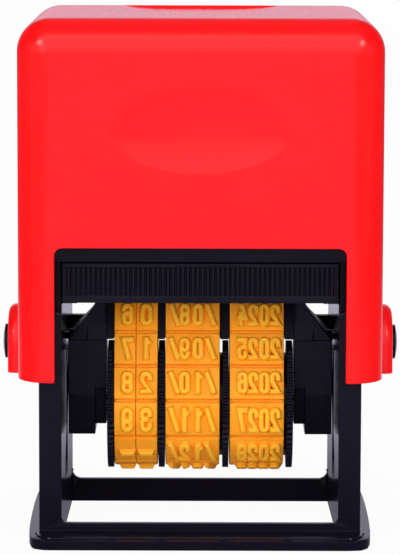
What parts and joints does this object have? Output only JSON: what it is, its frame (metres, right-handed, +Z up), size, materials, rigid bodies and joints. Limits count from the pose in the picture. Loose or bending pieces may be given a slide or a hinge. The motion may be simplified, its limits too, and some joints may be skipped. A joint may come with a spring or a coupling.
{
  "type": "self-inking date stamp",
  "caption": "Self-inking date stamp: a sprung cover turns the carrier with its date bands from the ink pad down to the paper.",
  "frame": {"origin": "on the table, under the middle of the base flange", "axes": "+Z up, the open front with the date bands faces -Y, +X to the viewer's right"},
  "size_m": [0.0556, 0.0394, 0.0724],
  "materials": {
    "cover_red": "smooth glossy moulded ABS",
    "frame_black": "satin moulded ABS, bluish black",
    "pad_black": "satin moulded plastic with fine ribs",
    "felt_ink": "felt soaked with blue-black ink",
    "spring_steel": "bright drawn wire",
    "pin_steel": "turned and polished",
    "cap_black": "glossy moulded cap",
    "carrier_black": "satin moulded acetal",
    "wheel_black": "satin moulded acetal with a toothed rim",
    "band_amber": "moulded amber rubber, slightly translucent"
  },
  "bodies": {
    "frame": {"frame": "frame_black", "ink_pad_case": "pad_black", "ink_pad_felt": "felt_ink", "return_spring_left": "spring_steel", "return_spring_right": "spring_steel"},
    "cover": {"cover": "cover_red", "flip_axle_left": "pin_steel", "flip_axle_right": "pin_steel", "axle_cap_left": "cap_black", "axle_cap_right": "cap_black"},
    "carrier": {"carrier_cheek_left": "carrier_black", "carrier_cheek_right": "carrier_black", "band_anvil": "carrier_black", "wheel_shaft": "pin_steel", "shaft_clips": "pin_steel", "detent_spring": "spring_steel", "band_day_units": "band_amber", "band_day_tens": "band_amber", "band_month": "band_amber", "band_year": "band_amber"},
    "wheel_day_units": {"thumbwheel_day_units": "wheel_black"},
    "wheel_day_tens": {"thumbwheel_day_tens": "wheel_black"},
    "wheel_month": {"thumbwheel_month": "wheel_black"},
    "wheel_year": {"thumbwheel_year": "wheel_black"}
  },
  "joints": [
    {"name": "cover_press", "type": "slide", "parent": "frame", "child": "cover", "axis": [0, 0, -1], "range_m": [0, 0.0179], "stiffness_N_per_m": 450, "springref_m": -0.01, "deforming": ["return_spring_left", "return_spring_right"]},
    {"name": "carrier_flip", "type": "hinge", "parent": "cover", "child": "carrier", "pos_m": [0, 0, 0.0259], "axis": [-1, 0, 0], "range_deg": [0, 180]},
    {"name": "turn_day_units", "type": "hinge", "parent": "carrier", "child": "wheel_day_units", "pos_m": [-0.01253, 0, 0.01695], "axis": [1, 0, 0], "continuous": true},
    {"name": "turn_day_tens", "type": "hinge", "parent": "carrier", "child": "wheel_day_tens", "pos_m": [-0.00539, 0, 0.01695], "axis": [1, 0, 0], "continuous": true},
    {"name": "turn_month", "type": "hinge", "parent": "carrier", "child": "wheel_month", "pos_m": [0.00357, 0, 0.01695], "axis": [1, 0, 0], "continuous": true},
    {"name": "turn_year", "type": "hinge", "parent": "carrier", "child": "wheel_year", "pos_m": [0.01253, 0, 0.01695], "axis": [1, 0, 0], "continuous": true}
  ],
  "couplings": [
    {"joint": "carrier_flip", "follows": "cover_press", "rad_per_m": 175.5}
  ]
}
